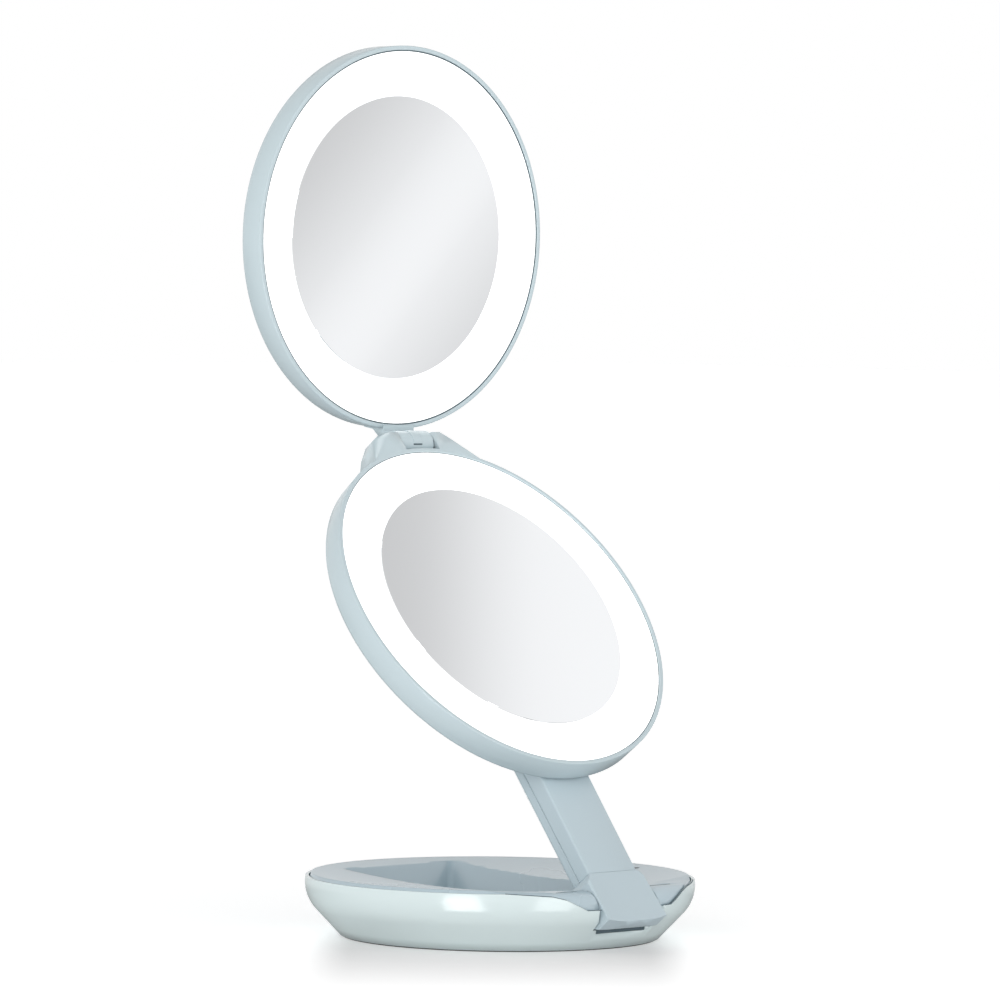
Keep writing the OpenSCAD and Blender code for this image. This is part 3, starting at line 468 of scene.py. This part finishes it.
def grain_group():
    """Moulded surface: a faint tone, a soft change of gloss and the height of a fine grain."""
    name = "Moulded grain"
    if name in bpy.data.node_groups:
        return bpy.data.node_groups[name]
    group = bpy.data.node_groups.new(name, "ShaderNodeTree")
    face = group.interface
    colour = face.new_socket("Colour", in_out="INPUT", socket_type="NodeSocketColor")
    colour.default_value = (0.8, 0.8, 0.8, 1)
    for label, start in (("Tone", 0.02), ("Gloss", 0.3), ("Gloss change", 0.06), ("Grain size", 900)):
        socket = face.new_socket(label, in_out="INPUT", socket_type="NodeSocketFloat")
        socket.default_value = start
    face.new_socket("Colour", in_out="OUTPUT", socket_type="NodeSocketColor")
    face.new_socket("Roughness", in_out="OUTPUT", socket_type="NodeSocketFloat")
    face.new_socket("Height", in_out="OUTPUT", socket_type="NodeSocketFloat")
    nodes = group.nodes
    link = group.links.new
    given = nodes.new("NodeGroupInput")
    result = nodes.new("NodeGroupOutput")
    place = nodes.new("ShaderNodeTexCoord")

    cloud = nodes.new("ShaderNodeTexNoise")
    cloud.inputs["Scale"].default_value = 18
    cloud.inputs["Detail"].default_value = 3
    link(place.outputs["Object"], cloud.inputs["Vector"])
    centred = nodes.new("ShaderNodeMath")
    centred.operation = "SUBTRACT"
    centred.inputs[1].default_value = 0.5
    link(cloud.outputs["Fac"], centred.inputs[0])

    tone = nodes.new("ShaderNodeMath")
    tone.operation = "MULTIPLY_ADD"
    tone.inputs[2].default_value = 1
    link(centred.outputs[0], tone.inputs[0])
    link(given.outputs["Tone"], tone.inputs[1])
    tinted = nodes.new("ShaderNodeVectorMath")
    tinted.operation = "SCALE"
    link(given.outputs["Colour"], tinted.inputs[0])
    link(tone.outputs[0], tinted.inputs["Scale"])
    link(tinted.outputs["Vector"], result.inputs["Colour"])

    gloss = nodes.new("ShaderNodeMath")
    gloss.operation = "MULTIPLY_ADD"
    gloss.use_clamp = True
    link(centred.outputs[0], gloss.inputs[0])
    link(given.outputs["Gloss change"], gloss.inputs[1])
    link(given.outputs["Gloss"], gloss.inputs[2])
    link(gloss.outputs[0], result.inputs["Roughness"])

    grain = nodes.new("ShaderNodeTexNoise")
    grain.inputs["Detail"].default_value = 2
    link(place.outputs["Object"], grain.inputs["Vector"])
    link(given.outputs["Grain size"], grain.inputs["Scale"])
    link(grain.outputs["Fac"], result.inputs["Height"])
    return group


def add_grain(material, shader, colour, tone=0.03, gloss=0.3, change=0.06, size=900, depth=0.00001,
              edge=0.0):
    """Feeds the shader from the moulded grain, over edges that look rounded by edge."""
    nodes = material.node_tree.nodes
    link = material.node_tree.links.new
    grain = nodes.new("ShaderNodeGroup")
    grain.node_tree = grain_group()
    grain.inputs["Colour"].default_value = (*colour[:3], 1)
    grain.inputs["Tone"].default_value = tone
    grain.inputs["Gloss"].default_value = gloss
    grain.inputs["Gloss change"].default_value = change
    grain.inputs["Grain size"].default_value = size
    link(grain.outputs["Colour"], shader.inputs["Base Color"])
    link(grain.outputs["Roughness"], shader.inputs["Roughness"])
    bump = nodes.new("ShaderNodeBump")
    bump.inputs["Strength"].default_value = 0.5
    bump.inputs["Distance"].default_value = depth
    link(grain.outputs["Height"], bump.inputs["Height"])
    link(bump.outputs["Normal"], shader.inputs["Normal"])
    if edge:
        rounded = nodes.new("ShaderNodeBevel")
        rounded.samples = 8
        rounded.inputs["Radius"].default_value = edge
        link(rounded.outputs["Normal"], bump.inputs["Normal"])


def plastic(name, colour, gloss=0.3, depth=0.00001, size=900, edge=0.0, shine=0.5):
    """Moulded plastic with a soft gloss."""
    material, shader = new_material(name)
    add_grain(material, shader, colour, gloss=gloss, size=size, depth=depth, edge=edge)
    shader.inputs["IOR"].default_value = 1.5
    shader.inputs["Specular IOR Level"].default_value = shine
    return material


def metal(name, colour, gloss=0.35, stretch=40):
    """Turned or drawn metal, with fine lines along one direction."""
    material, shader = new_material(name)
    nodes = material.node_tree.nodes
    link = material.node_tree.links.new
    shader.inputs["Metallic"].default_value = 1
    place = nodes.new("ShaderNodeTexCoord")
    turn = nodes.new("ShaderNodeMapping")
    turn.inputs["Scale"].default_value = (1, stretch, stretch)
    lines = nodes.new("ShaderNodeTexNoise")
    lines.inputs["Scale"].default_value = 60
    lines.inputs["Detail"].default_value = 4
    link(place.outputs["Object"], turn.inputs["Vector"])
    link(turn.outputs["Vector"], lines.inputs["Vector"])
    spread = nodes.new("ShaderNodeMapRange")
    spread.inputs["To Min"].default_value = gloss - 0.1
    spread.inputs["To Max"].default_value = gloss + 0.1
    link(lines.outputs["Fac"], spread.inputs["Value"])
    link(spread.outputs["Result"], shader.inputs["Roughness"])
    tint = nodes.new("ShaderNodeMix")
    tint.data_type = "RGBA"
    tint.inputs["A"].default_value = (*[c * 0.9 for c in colour[:3]], 1)
    tint.inputs["B"].default_value = (*colour[:3], 1)
    link(lines.outputs["Fac"], tint.inputs["Factor"])
    link(tint.outputs["Result"], shader.inputs["Base Color"])
    return material


def mirror_glass(name, colour):
    """Silvered glass: a clear reflection with a faint change in its haze."""
    material, shader = new_material(name)
    shader.inputs["Metallic"].default_value = 1
    nodes = material.node_tree.nodes
    link = material.node_tree.links.new
    place = nodes.new("ShaderNodeTexCoord")
    haze = nodes.new("ShaderNodeTexNoise")
    haze.inputs["Scale"].default_value = 9
    haze.inputs["Detail"].default_value = 2
    link(place.outputs["Object"], haze.inputs["Vector"])
    spread = nodes.new("ShaderNodeMapRange")
    spread.inputs["To Min"].default_value = 0.012
    spread.inputs["To Max"].default_value = 0.03
    link(haze.outputs["Fac"], spread.inputs["Value"])
    link(spread.outputs["Result"], shader.inputs["Roughness"])
    shader.inputs["Base Color"].default_value = (*colour[:3], 1)
    return material


def light_ring(name, colour, glow):
    """Milky diffuser that glows evenly, as if lit from behind."""
    material, shader = new_material(name)
    add_grain(material, shader, colour, tone=0.01, gloss=0.45, size=700, depth=0.000005)
    shader.inputs["Emission Color"].default_value = (1, 1, 1, 1)
    shader.inputs["Emission Strength"].default_value = glow
    return material


def slot_materials(finish):
    """One material for each slot of the record."""
    depth = finish.grain_depth
    made = {
        # The four blue plastics differ in colour as painted light and shade of one plastic
        "bowl_blue": plastic("Bowl plastic", finish.bowl, gloss=0.16, depth=depth * 0.3,
                             edge=0.3 * MM, shine=0.4),
        "tray_blue": plastic("Tray plastic", finish.tray, gloss=0.28, depth=depth,
                             edge=0.5 * MM, shine=1.0),
        "arm_blue": plastic("Arm plastic", finish.arm, gloss=0.36, depth=depth,
                            edge=0.3 * MM, shine=0.35),
        "head_blue": plastic("Head plastic", finish.head, gloss=0.26, depth=depth * 0.4,
                             edge=0.3 * MM, shine=0.35),
        "light_ring": light_ring("Lit diffuser", COLOUR_OF["light_ring"], finish.ring_glow),
        "mirror_glass": mirror_glass("Silvered glass", COLOUR_OF["mirror_glass"]),
        "black_rubber": plastic("Rubber", COLOUR_OF["black_rubber"], gloss=0.75, depth=depth * 3,
                                size=1500),
    }
    # Painted shade for the gaps between pieces
    made["seam"] = plastic("Seam shadow", finish.seam, gloss=0.6, depth=depth)
    for slot in ("steel", "contact_metal", "ballast_iron"):
        made[slot] = metal(slot.replace("_", " ").capitalize(), COLOUR_OF[slot])
    for slot in COLOUR_OF:
        if slot not in made:
            made[slot] = plastic(slot.replace("_", " ").capitalize(), COLOUR_OF[slot], gloss=0.4,
                                 depth=depth)
    return made


class MIRROR_OT_finishes(Operator):
    """Gives each CAD node the material of its slot, and each new piece its finish"""

    bl_idname = "mirror.finishes"
    bl_label = "Finishes"

    def execute(self, context):
        made = slot_materials(context.scene.mirror_finish)
        for name, node in frame["nodes"].items():
            node.data.materials.clear()
            node.data.materials.append(made[SLOT_OF[name]])
        for name, key in PIECE_FINISH.items():
            bpy.data.objects[name].data.materials.append(made[key])
        return {"FINISHED"}


# Stage

AIM = (0, 0, 0.12)
KEY_PLACE = (-1.5, -0.9, 0.6)
KEY_SIZE = (0.9, 0.9)
CARD_HALF = (0.3, 0.3)
FLOOR_HALF = (12, 12)
FLOOR_TONE = 0.86

# Ends of the floor's pool of painted shadow, in m towards the camera and sideways from the middle
POOL_RISE = (-0.04, 0.04)
POOL_FADE = (0.052, 0.188)
POOL_SIDES = (0.050, 0.071)

# Where reflections begin and end to see the room darker, as heights and turns of a direction
DIM_BELOW = (-0.03, -0.15)
DIM_BEHIND = (0.2, -0.4)

# Each card: its glass, that glass's lean, the direction of its change in tone as the camera
# sees it, and its stops of place along that direction in mm and strength
CARDS = {
    "Upper card": ("upper_glass", LEAN_UPPER, math.radians(145), (
        (-60, 0.80), (-24, 1.10), (-6, 1.15), (16, 1.02), (52, 0.72))),
    "Lower card": ("lower_glass", LEAN_LOWER, math.radians(0), (
        (-60, 0.72), (-34, 0.76), (-10, 0.98), (14, 1.13), (50, 1.15))),
}

# Each panel: its turn to the left of the front and its tilt in degrees, as seen from the bowl,
# its width and height in m and its share of the panels' glow
PANELS = {
    "Left panel": (-66, -19, 0.20, 0.36, 1.0),
    "Right panel": (-11, -17, 0.20, 0.34, 0.55),
}


def camera_axes(stage):
    """The camera's right, up and backward directions."""
    a, e, roll = stage.azimuth, stage.elevation, stage.roll
    back = Vector((math.sin(a) * math.cos(e), -math.cos(a) * math.cos(e), math.sin(e)))
    level = Vector((math.cos(a), math.sin(a), 0))
    upright = back.cross(level)
    right = level * math.cos(roll) + upright * math.sin(roll)
    up = upright * math.cos(roll) - level * math.sin(roll)
    return right, up, back


def camera_place(stage):
    """Where the camera stands."""
    right, up, back = camera_axes(stage)
    place = Vector((0, 0, stage.target_height)) + back * stage.distance
    return place - right * stage.slide_right - up * stage.slide_up


def add_camera(context, stage):
    """The photograph's view."""
    right, up, back = camera_axes(stage)
    data = bpy.data.cameras.new("Camera")
    data.sensor_width = 36
    data.lens = stage.lens
    data.clip_start = 0.1
    data.clip_end = 50
    camera = bpy.data.objects.new("Camera", data)
    turn = Matrix((right, up, back)).transposed().to_4x4()
    camera.matrix_world = Matrix.Translation(camera_place(stage)) @ turn
    context.scene.collection.objects.link(camera)
    context.scene.camera = camera


def add_lamp(context, name, place, aim, size, power):
    """A rectangular soft box aimed at a point."""
    data = bpy.data.lights.new(name, "AREA")
    data.shape = "RECTANGLE"
    data.size, data.size_y = size
    data.energy = power
    lamp = bpy.data.objects.new(name, data)
    lamp.location = place
    lamp.rotation_euler = (Vector(aim) - Vector(place)).to_track_quat("-Z", "Y").to_euler()
    context.scene.collection.objects.link(lamp)


def seen_ray(nodes, link):
    """A factor of 1 for what the camera and reflections see."""
    path = nodes.new("ShaderNodeLightPath")
    total = path.outputs["Is Camera Ray"]
    for kind in ("Is Glossy Ray", "Is Transmission Ray"):
        either = nodes.new("ShaderNodeMath")
        either.operation = "MAXIMUM"
        link(total, either.inputs[0])
        link(path.outputs[kind], either.inputs[1])
        total = either.outputs[0]
    return total


def set_world(context, stage):
    """Soft light from the front that fades upwards, and white where the view passes the object."""
    world = bpy.data.worlds.new("Studio")
    world.use_nodes = True
    nodes = world.node_tree.nodes
    nodes.clear()
    link = world.node_tree.links.new
    output = nodes.new("ShaderNodeOutputWorld")
    place = nodes.new("ShaderNodeTexCoord")
    height = nodes.new("ShaderNodeSeparateXYZ")
    link(place.outputs["Generated"], height.inputs["Vector"])
    fading = nodes.new("ShaderNodeMapRange")
    fading.inputs["To Min"].default_value = 1
    fading.inputs["To Max"].default_value = stage.top_share
    link(height.outputs["Z"], fading.inputs["Value"])
    facing = nodes.new("ShaderNodeVectorMath")
    facing.operation = "DOT_PRODUCT"
    facing.inputs[1].default_value = (math.sin(stage.light_turn), -math.cos(stage.light_turn), 0)
    link(place.outputs["Generated"], facing.inputs[0])
    level = nodes.new("ShaderNodeMapRange")
    level.inputs["From Min"].default_value = -1
    level.inputs["To Min"].default_value = stage.back_light
    level.inputs["To Max"].default_value = stage.front_light
    link(facing.outputs["Value"], level.inputs["Value"])
    strength = nodes.new("ShaderNodeMath")
    strength.operation = "MULTIPLY"
    link(fading.outputs["Result"], strength.inputs[0])
    link(level.outputs["Result"], strength.inputs[1])
    even = nodes.new("ShaderNodeBackground")
    even.inputs["Color"].default_value = (1, 1, 1, 1)
    link(strength.outputs[0], even.inputs["Strength"])
    below = nodes.new("ShaderNodeMapRange")
    below.inputs["From Min"].default_value = DIM_BELOW[0]
    below.inputs["From Max"].default_value = DIM_BELOW[1]
    link(height.outputs["Z"], below.inputs["Value"])
    behind = nodes.new("ShaderNodeMapRange")
    behind.inputs["From Min"].default_value = DIM_BEHIND[0]
    behind.inputs["From Max"].default_value = DIM_BEHIND[1]
    link(facing.outputs["Value"], behind.inputs["Value"])
    both = nodes.new("ShaderNodeMath")
    both.operation = "MULTIPLY"
    link(below.outputs["Result"], both.inputs[0])
    link(behind.outputs["Result"], both.inputs[1])
    dimmed = nodes.new("ShaderNodeMath")
    dimmed.operation = "MULTIPLY_ADD"
    dimmed.inputs[1].default_value = -stage.dim_behind
    dimmed.inputs[2].default_value = 1
    link(both.outputs[0], dimmed.inputs[0])
    seen = nodes.new("ShaderNodeBackground")
    seen.inputs["Color"].default_value = (1, 1, 1, 1)
    link(dimmed.outputs[0], seen.inputs["Strength"])
    pick = nodes.new("ShaderNodeMixShader")
    link(seen_ray(nodes, link), pick.inputs["Fac"])
    link(even.outputs[0], pick.inputs[1])
    link(seen.outputs[0], pick.inputs[2])
    link(pick.outputs[0], output.inputs["Surface"])
    context.scene.world = world


def stage_sheet(context, name, half, material):
    """A flat sheet of the stage, given by half its width and height, about its own origin."""
    mesh = bpy.data.meshes.new(name)
    shape = bmesh.new()
    bmesh.ops.create_grid(shape, x_segments=1, y_segments=1, size=1)
    bmesh.ops.scale(shape, vec=(*half, 1), verts=shape.verts)
    shape.to_mesh(mesh)
    shape.free()
    mesh.materials.append(material)
    sheet = bpy.data.objects.new(name, mesh)
    context.scene.collection.objects.link(sheet)
    return sheet


def add_floor(context, stage):
    """A wide white floor with a soft pool of painted shadow, in its colour and glow, that runs towards
    the camera.
    """
    material, nodes, link, output = bare_material("Floor")

    def ranged(value, ends, low, high, smooth=True):
        spread = nodes.new("ShaderNodeMapRange")
        spread.interpolation_type = "SMOOTHSTEP" if smooth else "LINEAR"
        sockets = ("From Min", "From Max", "To Min", "To Max")
        for socket, given in zip(sockets, (*ends, low, high)):
            spread.inputs[socket].default_value = given
        link(value, spread.inputs["Value"])
        return spread.outputs["Result"]

    def combined(operation, first, second):
        step = nodes.new("ShaderNodeMath")
        step.operation = operation
        link(first, step.inputs[0])
        if isinstance(second, float):
            step.inputs[1].default_value = second
        else:
            link(second, step.inputs[1])
        return step.outputs[0]

    place = nodes.new("ShaderNodeTexCoord")
    turn = nodes.new("ShaderNodeMapping")
    turn.inputs["Rotation"].default_value = (0, 0, -stage.azimuth)
    part = nodes.new("ShaderNodeSeparateXYZ")
    link(place.outputs["Object"], turn.inputs["Vector"])
    link(turn.outputs["Vector"], part.inputs["Vector"])
    near = combined("MULTIPLY", part.outputs["Y"], -1.0)
    sideways = nodes.new("ShaderNodeMath")
    sideways.operation = "ABSOLUTE"
    link(part.outputs["X"], sideways.inputs[0])
    # Painted shadow: the pool darkens the floor's colour, glow and bounce in front of the object
    fade = ranged(near, POOL_FADE, stage.painted_shadow_depth, 0, smooth=False)
    rise = ranged(near, POOL_RISE, 0, 1)
    width = ranged(sideways.outputs[0], POOL_SIDES, 1, 0)
    shade = combined("MULTIPLY", combined("MULTIPLY", fade, rise), width)
    open_share = nodes.new("ShaderNodeMath")
    open_share.operation = "SUBTRACT"
    open_share.inputs[0].default_value = 1
    link(shade, open_share.inputs[1])
    tone = nodes.new("ShaderNodeCombineColor")
    for channel in ("Red", "Green", "Blue"):
        link(combined("MULTIPLY", open_share.outputs[0], FLOOR_TONE), tone.inputs[channel])

    matt = nodes.new("ShaderNodeBsdfDiffuse")
    link(tone.outputs["Color"], matt.inputs["Color"])
    sums = []
    for strength in (stage.floor_bounce, stage.floor_glow):
        glow = nodes.new("ShaderNodeEmission")
        link(combined("MULTIPLY", open_share.outputs[0], strength), glow.inputs["Strength"])
        total = nodes.new("ShaderNodeAddShader")
        link(matt.outputs[0], total.inputs[0])
        link(glow.outputs[0], total.inputs[1])
        sums.append(total)
    pick = nodes.new("ShaderNodeMixShader")
    link(seen_ray(nodes, link), pick.inputs["Fac"])
    link(sums[0].outputs[0], pick.inputs[1])
    link(sums[1].outputs[0], pick.inputs[2])
    link(pick.outputs[0], output.inputs["Surface"])
    floor = stage_sheet(context, "Floor", FLOOR_HALF, material)
    floor.visible_glossy = False


def card_material(name, angle, stops):
    """Glow that changes along one direction of the card, from stops of place and strength."""
    material, nodes, link, output = bare_material(name)
    place = nodes.new("ShaderNodeTexCoord")
    turn = nodes.new("ShaderNodeMapping")
    turn.inputs["Rotation"].default_value = (0, 0, -angle)
    part = nodes.new("ShaderNodeSeparateXYZ")
    link(place.outputs["Object"], turn.inputs["Vector"])
    link(turn.outputs["Vector"], part.inputs["Vector"])
    along = nodes.new("ShaderNodeMapRange")
    first, last = stops[0][0], stops[-1][0]
    along.inputs["From Min"].default_value = first * MM
    along.inputs["From Max"].default_value = last * MM
    link(part.outputs["X"], along.inputs["Value"])
    ramp = nodes.new("ShaderNodeValToRGB")
    ramp.color_ramp.interpolation = "B_SPLINE"
    marks = ramp.color_ramp.elements
    while len(marks) < len(stops):
        marks.new(0.5)
    top = max(glow for at, glow in stops) * 1.01
    for mark, (at, glow) in zip(marks, stops):
        mark.position = (at - first) / (last - first)
        mark.color = (glow / top, glow / top, glow * 1.005 / top, 1)
    link(along.outputs["Result"], ramp.inputs["Fac"])
    shine = nodes.new("ShaderNodeEmission")
    shine.inputs["Strength"].default_value = top
    link(ramp.outputs["Color"], shine.inputs["Color"])
    link(shine.outputs[0], output.inputs["Surface"])
    return material


def reflected_sheet(context, material, half):
    """A sheet of the stage that only reflections see."""
    sheet = stage_sheet(context, material.name, half, material)
    sheet.visible_camera = False
    sheet.visible_diffuse = False
    sheet.visible_shadow = False
    sheet.visible_transmission = False
    return sheet


def add_card(context, stage, glass, face, material):
    """A card that only reflections see, where the camera sees it in the middle of a glass."""
    middle = middle_of(glass)
    right, up, back = camera_axes(stage)
    to_camera = (camera_place(stage) - middle).normalized()

    def turned(direction):
        return direction - 2 * direction.dot(face) * face

    card = reflected_sheet(context, material, CARD_HALF)
    ray = turned(-to_camera)
    card.matrix_world = Matrix.Translation(middle + ray * stage.card_distance) @ Matrix(
        (turned(right), turned(up), ray)).transposed().to_4x4()


def add_panel(context, stage, name, turn, tilt, width, height, glow):
    """A glowing panel that only the gloss of the bowl's front shows."""
    material, nodes, link, output = bare_material(name)
    shine = nodes.new("ShaderNodeEmission")
    shine.inputs["Strength"].default_value = glow
    link(shine.outputs[0], output.inputs["Surface"])
    middle = (turn + stage.azimuth) / 2
    start = Vector((math.sin(middle), -math.cos(middle), 0)) * BASE_R + Vector((0, 0, BELLY_Z))
    ray = Vector((math.sin(turn) * math.cos(tilt), -math.cos(turn) * math.cos(tilt), math.sin(tilt)))
    panel = reflected_sheet(context, material, (width / 2, height / 2))
    panel.matrix_world = (Matrix.Translation(start + ray * stage.card_distance)
                          @ ray.to_track_quat("Z", "Y").to_matrix().to_4x4())


class MIRROR_OT_stage(Operator):
    """Sets up the camera, the lamps, the world and the floor"""

    bl_idname = "mirror.stage"
    bl_label = "Stage"

    def execute(self, context):
        stage = context.scene.mirror_stage
        context.scene.view_settings.view_transform = "Standard"
        add_camera(context, stage)
        set_world(context, stage)
        add_floor(context, stage)
        add_lamp(context, "Key", KEY_PLACE, AIM, KEY_SIZE, stage.key_light)
        for name, (glass, lean, angle, stops) in CARDS.items():
            face = Vector((0, -math.sin(lean), math.cos(lean)))
            add_card(context, stage, glass, face, card_material(name, angle, stops))
        for name, (turn, tilt, width, height, share) in PANELS.items():
            add_panel(context, stage, name, math.radians(turn), math.radians(tilt), width, height,
                      share * stage.panel_glow)
        return {"FINISHED"}


class MIRROR_PT_panel(Panel):
    """Lists the mirror's steps and settings"""

    bl_label = "Mirror"
    bl_space_type = "VIEW_3D"
    bl_region_type = "UI"
    bl_category = "Mirror"

    def draw(self, context):
        for step in STEPS:
            self.layout.operator(step.bl_idname)
        scene = context.scene
        for group in (scene.mirror_form, scene.mirror_finish, scene.mirror_stage):
            for name in group.__annotations__:
                self.layout.prop(group, name)


STEPS = (MIRROR_OT_heads, MIRROR_OT_hinge, MIRROR_OT_base, MIRROR_OT_arm, MIRROR_OT_finishes,
         MIRROR_OT_stage)
CLASSES = (MirrorForm, MirrorFinish, MirrorStage, *STEPS, MIRROR_PT_panel)


def register():
    for made in CLASSES:
        bpy.utils.register_class(made)
    bpy.types.Scene.mirror_form = PointerProperty(type=MirrorForm)
    bpy.types.Scene.mirror_finish = PointerProperty(type=MirrorFinish)
    bpy.types.Scene.mirror_stage = PointerProperty(type=MirrorStage)


def unregister():
    del bpy.types.Scene.mirror_stage
    del bpy.types.Scene.mirror_finish
    del bpy.types.Scene.mirror_form
    for made in reversed(CLASSES):
        bpy.utils.unregister_class(made)


def main():
    register()
    bpy.ops.mirror.heads()
    bpy.ops.mirror.hinge()
    bpy.ops.mirror.base()
    bpy.ops.mirror.arm()
    bpy.ops.mirror.finishes()
    bpy.ops.mirror.stage()


if __name__ == "__main__":
    main()
